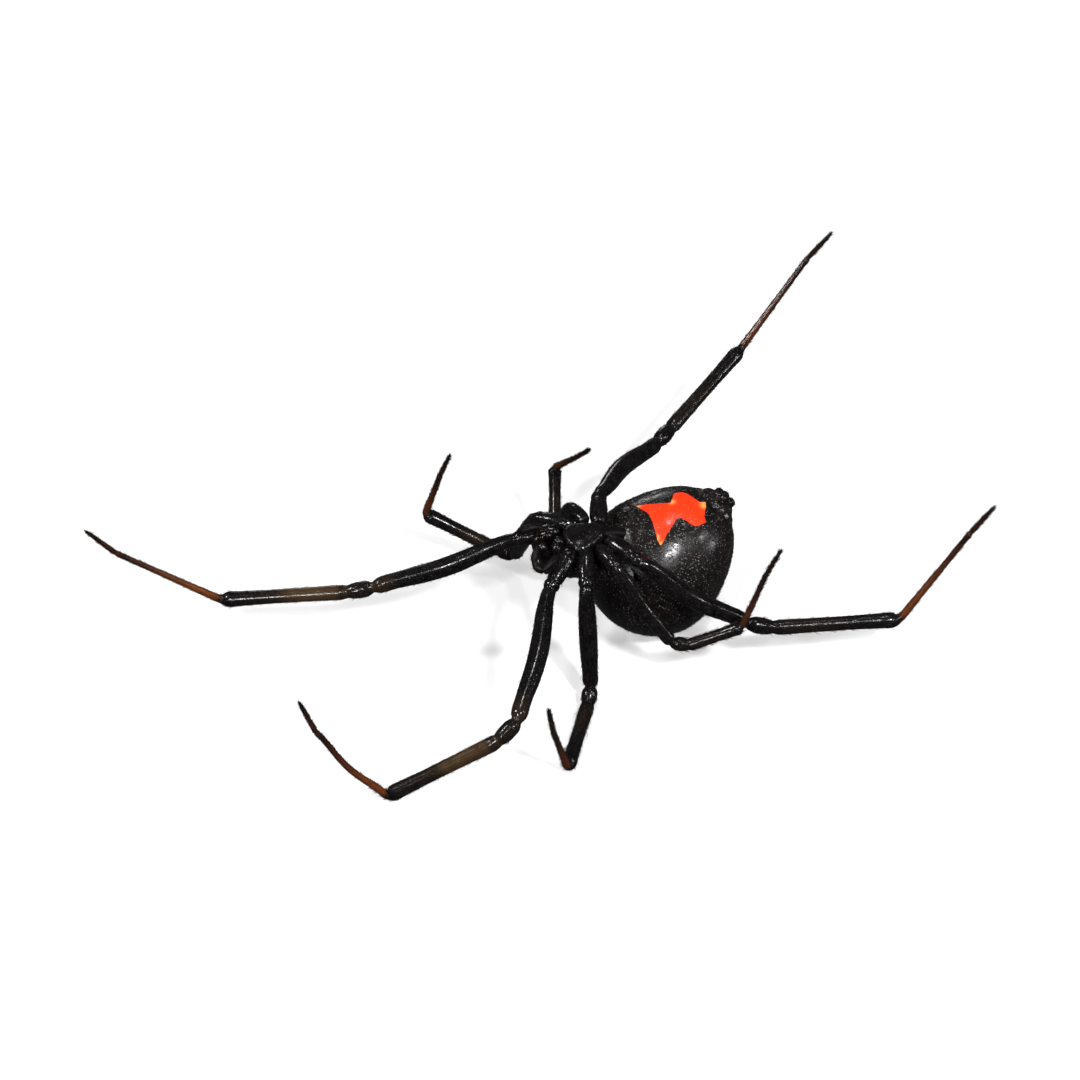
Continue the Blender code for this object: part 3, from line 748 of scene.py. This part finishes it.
# %% Carapace
FRONT, REAR, DEPTH = 2.95, -1.85, 1.75
WIDTH_TABLE = (
    (-1.0, 1.05), (-0.6, 1.95), (-0.1, 2.12), (0.3, 1.78), (0.55, 1.35), (0.8, 1.22), (1.0, 1.15))
DEPTH_TABLE = ((-1.0, 0.35), (-0.5, 1.15), (0.0, DEPTH), (0.45, 1.62), (0.8, 1.62), (1.0, 1.35))
CARAPACE_COLS = 96
PLATE_COLS = 64
NEAR_END = 0.9995


def plate_grid(rows, cols):
    """Places s from -1 to 1, just short of the ends, the angles round the plate, and its caps."""
    t, cap = round_ends(rows)
    s = np.clip(t, -NEAR_END, NEAR_END)[:, None]
    return s, np.linspace(0, 2 * np.pi, cols, endpoint=False)[None], cap[:, None]


def carapace_points(s, angle):
    """Back plate: s runs from tail to head, the angle goes round; grooves lower the dome."""
    fade = (1 - np.abs(s) ** 5) ** 0.5
    c, w = np.cos(angle), np.sin(angle)
    pit = 0.20 * np.exp(-((s + 0.2) / 0.10) ** 2 - (c / 0.16) ** 2)
    neck = 0.10 * np.exp(-((s - 0.12 - 0.55 * np.abs(c)) / 0.07) ** 2) * np.abs(c) ** 0.5
    rays = 0.03 * np.cos(9 * np.arctan2(c, s + 0.2)) * np.exp(-((s + 0.2) / 0.55) ** 2)
    depth = table(s, DEPTH_TABLE) * fade - np.where(w < 0, pit + neck + rays, 0) * fade
    rim = 0.05 * np.exp(-(w / 0.10) ** 2)
    height = np.where(w < 0, w * depth, 0.06 * w * fade)
    middle, half = (FRONT + REAR) / 2, (FRONT - REAR) / 2
    return in_body(middle + half * s, c * (table(s, WIDTH_TABLE) * fade + rim * fade), RIM_Z + height)


s, angle = plate_grid(90, CARAPACE_COLS)[:2]
rings = carapace_points(s, angle)
carapace = add_rings("carapace_skin", rings, SHELL)
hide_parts("carapace")
print("carapace size, mm:", np.round(np.ptp(rings.reshape(-1, 3), 0), 2))


# %% [markdown]
# The sternum and the soft skin under the carapace are both flat shields with rounded edges. The
# pedicel is a short stalk from them to the abdomen.

# %% Sternum and the soft skin
def shield(front, rear, widths, low, top, power):
    """A plate: s from rear to front, width from a table, edges rounded by a power of sine."""
    s, angle, cap = plate_grid(60, PLATE_COLS)
    c, w = np.cos(angle), np.sin(angle)
    side = np.sign(c) * np.abs(c) ** power
    lift = np.sign(w) * np.abs(w) ** power
    height = (low + top) / 2 + lift * (top - low) / 2 * (0.35 + 0.65 * cap)
    return in_body((front + rear) / 2 + (front - rear) / 2 * s, side * table(s, widths) * cap, height)


STERNUM_WIDTHS = ((-1.0, 0.20), (-0.5, 0.78), (0.0, 1.10), (0.45, 1.30), (0.75, 1.22), (1.0, 0.95))
rings = shield(front=1.24, rear=-1.70, widths=STERNUM_WIDTHS, low=8.5, top=9.46, power=0.85)
sternum = add_rings("sternum_skin", rings, SHELL)
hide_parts("sternum")
print("sternum size, mm:", np.round(np.ptp(rings.reshape(-1, 3), 0), 2))
SOFT_WIDTHS = ((-1.0, 0.5), (-0.5, 1.25), (0.0, 1.62), (0.5, 1.45), (1.0, 0.8))
rings = shield(front=2.55, rear=-1.75, widths=SOFT_WIDTHS, low=7.9, top=8.75, power=0.8)
add_rings("chest_skin", rings, SOFT)
stalk = pod("pedicel_skin", [in_body(-1.3, 0, 8.7), in_body(-2.3, 0, 8.42), in_body(-3.4, 0, 7.85)],
            (0.45, 0.36, 0.34, 0.40, 0.46), SOFT, rows=36)
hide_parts("pedicel")

# %% [markdown]
# ## Head
# In front of the sternum stand the lip, the two jaws' bases and, at the face, the fangs' bases
# with the small dark fangs folded over them. Two short feelers, the palps, reach round the face.

# %% Mouth, chelicerae, fangs and palps
lip = pod("labium_skin", [in_body(1.60, 0, 8.35), in_body(1.66, 0, 9.0), in_body(1.76, 0, 9.50)],
          (0.36, 0.38, 0.36, 0.26), SHELL, cols=22)
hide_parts("labium")
PALPS = {
    "right": ((2.05, -1.22, 9.20), (2.80, -1.62, 9.22), (3.42, -1.88, 9.05), (3.72, -1.80, 9.15),
              (3.88, -1.55, 9.35), (3.78, -1.20, 9.72), (3.58, -0.98, 10.02), (3.38, -0.80, 10.22)),
    "left": ((2.12, 1.12, 9.42), (2.80, 1.28, 9.66), (3.42, 1.34, 9.70), (3.70, 1.22, 9.80),
             (3.82, 1.00, 9.95), (3.74, 0.72, 10.20), (3.56, 0.56, 10.42), (3.36, 0.44, 10.55)),
}
PALP_SWELLS = (0.24, 0.27, 0.25, 0.19, 0.25, 0.24, 0.19, 0.24, 0.20, 0.14, 0.06)
PALP_COLS = 22
palps = []
for sign, side in ((1, "left"), (-1, "right")):
    jaw = pod(f"maxilla_{side}_skin", [in_body(1.95, sign * 0.70, 8.3), in_body(2.06, sign * 0.66, 8.95),
              in_body(2.16, sign * 0.46, 9.62)], (0.36, 0.38, 0.34, 0.24), SHELL, cols=22)
    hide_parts(f"maxilla_{side}")
    fang_base = pod(f"chelicera_{side}_skin", [in_body(2.60, sign * 0.45, 7.9),
                    in_body(2.84, sign * 0.47, 8.75), in_body(2.94, sign * 0.43, 9.35),
                    in_body(2.90, sign * 0.35, 9.86)],
                    (0.40, 0.44, 0.42, 0.36, 0.24), SHELL, cols=26)
    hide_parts(f"chelicera_{side}")
    fang = pod(f"fang_{side}_tip", [in_body(2.88, sign * 0.30, 9.80), in_body(2.84, sign * 0.24, 10.16),
               in_body(2.66, sign * 0.20, 10.34), in_body(2.36, sign * 0.17, 10.24)],
               (0.13, 0.12, 0.085, 0.05, 0.012), FANG, rows=34, cols=16)
    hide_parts(f"fang_{side}")
    stops = [in_body(*row) for row in PALPS[side]]
    palp = pod(f"palp_{side}_skin", stops, PALP_SWELLS, SOFT, rows=90, cols=PALP_COLS)
    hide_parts(f"palp_{side}_femur", f"palp_{side}_tibia")
    palps.append(palp)
print("palps:", len(palps))

# %% [markdown]
# ## Eyes
# Eight eyes in two rows look out of the face, each a small glossy bead half sunk in the chitin.

# %% Eyes
# place along the carapace, distance from the middle in mm, radius in mm
EYE_SEATS = ((0.955, 0.20, 0.150), (0.95, 0.60, 0.125), (0.86, 0.26, 0.135), (0.87, 0.74, 0.125))
beads = []
lat = np.linspace(0.02, np.pi - 0.02, 16)[:, None]
lon = np.linspace(0, 2 * np.pi, 20, endpoint=False)[None]
ball = np.stack([np.cos(lat) + 0 * lon, np.sin(lat) * np.cos(lon), np.sin(lat) * np.sin(lon)], -1)
for sign, side in ((1, "left"), (-1, "right")):
    for k, (s, out, radius) in enumerate(EYE_SEATS):
        fade = (1 - s ** 5) ** 0.5
        c = min(out / float(table(np.array(s), WIDTH_TABLE) * fade), 0.98)
        seat = carapace_points(np.array(s), np.array(-math.acos(sign * c)))
        beads.append(add_rings(f"eye_{side}_{k}", seat + ball * radius, BEAD))
print("eyes:", len(beads))


# %% [markdown]
# ## Hair
# Every segment carries short fine hairs that lie towards its tip, with some longer bristles.
# Each hair is a bent three-sided spike of ten triangles, and all the hairs of a leg are one mesh
# made from arrays. Its UV map puts each hair where its root is on the leg's own unwrap.


# %% A helper for many hairs
PATCH = 0.003          # side of a hair's patch on its UV map
FINE_WIDTH = 0.009     # half thickness of a fine hair, in mm
BEND_WIDTH = 0.72      # the share of it that is left at the hair's bend
WOBBLE = 0.16          # how unevenly the hairs lie
SUNK = 0.02            # how deep a root sits in the skin, in mm
FLOOR_GAP = 0.004      # how far above the floor a hair stays, in mm
LEG_STRIPS = 8         # one strip of the map a leg


def inset(x):
    """0 to 1 kept a little inside the map's edges."""
    return 0.01 + 0.97 * x


def add_hairs(name, roots, lie, out, length, width, sheet_uv, seed, lift=0.5):
    """Spikes from roots: they start between lie and out, bend towards lie, and end in a point."""
    rng = np.random.default_rng(seed)
    count = len(roots)
    wobble = rng.normal(0, WOBBLE, (count, 3))
    start = unit(lie + out * lift + wobble)
    end = unit(lie + out * lift * 0.25 + wobble)
    side = unit(np.cross(start, out + 0.01))
    over = np.cross(start, side)
    knee = roots + start * (length * 0.5)[:, None]
    tip = knee + end * (length * 0.5)[:, None]
    turn = (np.arange(3) * 2 * np.pi / 3)[None, :, None]
    ring = side[:, None] * np.cos(turn) + over[:, None] * np.sin(turn)
    ring = ring * width[:, None, None]
    sunk = roots - out * SUNK
    verts = np.concatenate([sunk[:, None] + ring, knee[:, None] + ring * BEND_WIDTH, tip[:, None]], 1)
    verts[..., 2] = np.maximum(verts[..., 2], FLOOR_GAP)
    at = np.arange(count)[:, None, None] * 7
    quads = np.array([[0, 1, 4, 3], [1, 2, 5, 4], [2, 0, 3, 5]])[None] + at
    tris = np.array([[3, 4, 6], [4, 5, 6], [5, 3, 6], [2, 1, 0]])[None] + at
    patch = np.array([[0, 0], [1, 0], [0.5, 1], [0, 0.3], [1, 0.3], [0.5, 1], [0.5, 0.5]]) * PATCH
    uv = (sheet_uv[:, None] + patch[None]).reshape(-1, 2)
    return add_mesh(name, verts.reshape(-1, 3), quads.reshape(-1, 4), tris.reshape(-1, 3),
                    HAIR, uv=uv)


def skin_hair(name, piece, cols, count, shortest, longest, seed):
    """Hairs on a skin made of rings: roots spread evenly by area, lying along the rings' path."""
    rng = np.random.default_rng(seed)
    flat = np.empty(len(piece.data.vertices) * 3, np.float32)
    piece.data.vertices.foreach_get("co", flat)
    rings = flat.reshape(-1, 3)[:-2].reshape(-1, cols, 3) / MM
    ahead = rings[1:] - rings[:-1]
    across = (np.roll(rings, -1, 1) - rings)[:-1]
    out = np.cross(across, ahead)
    area = np.linalg.norm(out, axis=-1)
    out = unit(out)
    centre = rings[:-1].mean(1, keepdims=True)
    out = out * np.sign((out * (rings[:-1] - centre)).sum(-1).mean())
    pick = rng.choice(area.size, count, p=area.ravel() / area.sum())
    i, j = np.divmod(pick, cols)
    t = rng.random((count, 1))
    roots = rings[i, j] * (1 - t) + rings[i + 1, j] * t
    sheet_uv = np.stack([inset((i + t[:, 0]) / len(rings)), inset(j / cols)], -1)
    length = rng.uniform(shortest, longest, count)
    return add_hairs(name, roots, unit(ahead[i, j]), out[i, j], length, np.full(count, FINE_WIDTH),
                     sheet_uv, seed)


# %% [markdown]
# A leg's hairs are denser towards the foot. One in twenty is a bristle, longer and thicker.

# %% Hair on the legs
LEG_HAIRS = 3000
HAIR_DENSITY = np.array([0.5, 0.8, 0.9, 1.1, 1.2, 1.5])
LEG_HAIR_LENGTHS = (0.16, 0.34)
BRISTLE_SHARE = 0.05
BRISTLE_WIDTH = 0.014
BRISTLE_LENGTH = 1.9     # times a fine hair's
COXA_LENGTH = 0.75       # the same for the hairs of coxa and femur


def leg_hair(number, side, band):
    """Hairs spread along a leg by length and density, from the coxa to the tip."""
    rng = np.random.default_rng(100 + band)
    weight = np.array(LEG_LENGTHS[number]) * HAIR_DENSITY
    segment = rng.choice(6, LEG_HAIRS, p=weight / weight.sum())
    u = np.sort(segment + rng.random(LEG_HAIRS))
    u = u[(u > 0.25) & (u < 5.97)]
    angle = rng.random(len(u)) * 2 * np.pi
    fine = np.linspace(-0.1, 6.0, 1200)
    path = leg_line(number, side, fine)
    along, across, over = frames(path)
    pick = np.clip(np.searchsorted(fine, u), 0, len(fine) - 1)
    out = across[pick] * np.cos(angle)[:, None] + over[pick] * np.sin(angle)[:, None]
    radius = table(fine[pick], LEG_RADIUS) * LEG_THICK[number]
    roots = path[pick] + out * radius[:, None]
    bristle = rng.random(len(u)) < BRISTLE_SHARE
    length = rng.uniform(*LEG_HAIR_LENGTHS, len(u)) * np.where(bristle, BRISTLE_LENGTH, 1.0)
    length = length * np.where(u < 2, COXA_LENGTH, 1.0)
    width = np.where(bristle, BRISTLE_WIDTH, FINE_WIDTH)
    sheet_uv = np.stack([inset(u / 6), (band + 0.04 + 0.9 * angle / (2 * np.pi)) / LEG_STRIPS], -1)
    return add_hairs(f"leg_{number}_{side}_hair", roots, along[pick], out, length, width, sheet_uv, band)


for band, (number, side) in enumerate(LEG_POSE):
    leg_hair(number, side, band)
print("hair pieces:", len(LEG_POSE))

# %% [markdown]
# The last foot segment of the hind legs carries the comb: pairs of curved bristles along its under
# side, which set this family of spiders apart.

# %% Combs of the hind legs
COMB_PAIRS = 16
COMB_SPAN = (5.08, 5.78)       # from here to there on the tarsus
COMB_LENGTHS = (0.34, 0.20)
COMB_ASIDE = 0.35
for band, side in ((6, "left"), (7, "right")):
    fine = np.linspace(4.9, 6.0, 200)
    path = leg_line("4", side, fine)
    along = frames(path)[0]
    under = unit(along * (along @ UP)[:, None] - UP)
    u = np.repeat(np.linspace(*COMB_SPAN, COMB_PAIRS), 2)
    pick = np.searchsorted(fine, u)
    aside = np.tile((COMB_ASIDE, -COMB_ASIDE), COMB_PAIRS)[:, None]
    out = unit(under[pick] + np.cross(along[pick], under[pick]) * aside)
    roots = path[pick] + out * table(u, LEG_RADIUS)[:, None]
    sheet_uv = np.stack([inset(u / 6), np.full(len(u), (band + 0.5) / LEG_STRIPS)], -1)
    add_hairs(f"leg_4_{side}_comb", roots, along[pick], out, np.linspace(*COMB_LENGTHS, len(u)),
              np.full(len(u), BRISTLE_WIDTH), sheet_uv, 70 + band, lift=1.0)
print("comb bristles a side:", len(u))

# %% [markdown]
# The abdomen's hairs lie back towards the spinnerets. The red mark and the tip are bare. The
# plates, the palps and the outer spinnerets have a few hairs too.

# %% Hair on the body
ABDOMEN_HAIRS = 9000
ABDOMEN_HAIR_WIDTH = 0.007
rng = np.random.default_rng(5)
direction = unit(rng.normal(0, 1, (ABDOMEN_HAIRS, 3)))
roots = abdomen_points(direction)
depth = inside_distance(np.stack([direction @ MARK_BACK, direction @ MARK_SIDE], -1), outline)
marked = (depth > 0) & (direction @ MARK_MIDDLE > 0.1)
keep = (roots[:, 2] > 0.08) & (direction[:, 0] < 0.965) & ~marked
direction, roots = direction[keep], roots[keep]
out = unit(direction @ np.stack([AXIS, ACROSS, OVER]))
lie = unit(AXIS - out * (out @ AXIS)[:, None])
length = rng.uniform(0.14, 0.26, len(roots))
turn = np.arctan2(direction[:, 2], direction[:, 1]) / (2 * np.pi) + 0.5
sheet_uv = np.stack([inset(turn), inset(np.arccos(direction[:, 0]) / np.pi)], -1)
width = np.full(len(roots), ABDOMEN_HAIR_WIDTH)
add_hairs("abdomen_hair", roots, lie, out, length, width, sheet_uv, 50)
skin_hair("carapace_hair", carapace, CARAPACE_COLS, count=900, shortest=0.14, longest=0.30, seed=51)
skin_hair("sternum_hair", sternum, PLATE_COLS, count=260, shortest=0.14, longest=0.30, seed=52)
for k, palp in enumerate(palps):
    skin_hair(palp.name.replace("skin", "hair"), palp, PALP_COLS,
              count=260, shortest=0.14, longest=0.34, seed=53 + k)
for k, cone in enumerate(made[:4]):
    skin_hair(f"{cone.name}_hair", cone, CONE_COLS, count=70, shortest=0.12, longest=0.22, seed=60 + k)
print("abdomen hairs:", len(roots))

# %% [markdown]
# ## Claws
# Each tarsus ends in three tiny hooks. They are thin pods, joined to no skin, so they keep their
# own hard edge.

# %% Claws
# sideways place and length in mm
HOOKS = ((0.035, 0.17), (-0.035, 0.17), (0.0, 0.10))
HOOK_RADII = (0.028, 0.024, 0.016, 0.004)
for number, side in LEG_POSE:
    line = leg_line(number, side, np.array([5.9, 6.0]))
    ahead = unit(line[1] - line[0])
    across = unit(np.cross(ahead, UP))
    down = np.cross(ahead, across)
    for k, (aside, size) in enumerate(HOOKS):
        foot = line[1] - ahead * 0.05 + across * aside
        hook = [foot, foot + ahead * size * 0.7, foot + ahead * size + down * size * 0.35]
        pod(f"leg_{number}_{side}_claw_{k}", hook, HOOK_RADII, FANG, rows=12, cols=8)
print("claws:", len(LEG_POSE) * len(HOOKS))

# %% [markdown]
# ## Floor and light
# The photo has a plain white ground. Small bright lamps give the thin streaks along the legs: a
# key at the right of the camera, two lesser ones at its left, one at the far left, one overhead,
# two at the right, and a low one behind for the rim. The floor glows a little and the spider
# doesn't mirror it, so her sides stay black.


# %% Floor and light
# name, place in metres, size in metres, power in watts
LAMPS = (
    ("key light", (0.114, -0.174, 0.278), 0.038, 1.00),
    ("left light", (-0.262, 0.020, 0.236), 0.044, 0.55),
    ("front left light", (-0.105, -0.210, 0.255), 0.028, 0.34),
    ("low front left light", (-0.172, -0.240, 0.165), 0.044, 0.34),
    ("top light", (0.012, 0.070, 0.336), 0.026, 0.15),
    ("right light", (0.300, -0.050, 0.080), 0.026, 0.13),
    ("upper right light", (0.268, -0.065, 0.200), 0.022, 0.14),
    ("rim light", (-0.060, 0.300, 0.035), 0.070, 0.06),
)
AIM = Vector((0.0, 0.0, 0.005))
ROOM_SEEN, ROOM_GLOW = 0.93, 0.05
FLOOR_GREY, FLOOR_GLOW = 0.60, 0.42
FLOOR_HALF, FLOOR_DROP = 2.0, 0.00002

for name, place, size, power in LAMPS:
    lamp = bpy.data.lights.new(name, "AREA")
    lamp.shape = "DISK"
    lamp.size = size
    lamp.energy = power
    holder = bpy.data.objects.new(name, lamp)
    holder.location = place
    holder.rotation_euler = (AIM - Vector(place)).to_track_quat("-Z", "Y").to_euler()
    bpy.context.scene.collection.objects.link(holder)

# the camera sees a white room; everything else sees a dim one
world = bpy.data.worlds.new("soft room")
world.use_nodes = True
nodes = world.node_tree.nodes
nodes["Background"].inputs["Color"].default_value = (1.0, 1.0, 1.0, 1.0)
ray = nodes.new("ShaderNodeLightPath")
room = nodes.new("ShaderNodeMath")
room.operation = "MULTIPLY_ADD"
room.inputs[1].default_value = ROOM_SEEN
room.inputs[2].default_value = ROOM_GLOW
world.node_tree.links.new(ray.outputs["Is Camera Ray"], room.inputs[0])
world.node_tree.links.new(room.outputs["Value"], nodes["Background"].inputs["Strength"])
bpy.context.scene.world = world

paper = bpy.data.materials.new("pale floor")
paper.use_nodes = True
sheet = paper.node_tree.nodes["Principled BSDF"]
sheet.inputs["Base Color"].default_value = (FLOOR_GREY, FLOOR_GREY, FLOOR_GREY, 1.0)
sheet.inputs["Roughness"].default_value = 0.9
sheet.inputs["Specular IOR Level"].default_value = 0.0
sheet.inputs["Emission Color"].default_value = (1.0, 1.0, 1.0, 1.0)
sheet.inputs["Emission Strength"].default_value = FLOOR_GLOW
corners = [(x * FLOOR_HALF, y * FLOOR_HALF, -FLOOR_DROP) for x, y in ((-1, -1), (1, -1), (1, 1), (-1, 1))]
ground = bpy.data.meshes.new("floor")
ground.from_pydata(corners, [], [(0, 1, 2, 3)])
ground.materials.append(paper)
floor = bpy.data.objects.new("floor", ground)
bpy.context.scene.collection.objects.link(floor)
floor.visible_glossy = False
floor.visible_diffuse = False
bpy.context.scene.view_settings.view_transform = "Standard"
print("lamps:", len(LAMPS))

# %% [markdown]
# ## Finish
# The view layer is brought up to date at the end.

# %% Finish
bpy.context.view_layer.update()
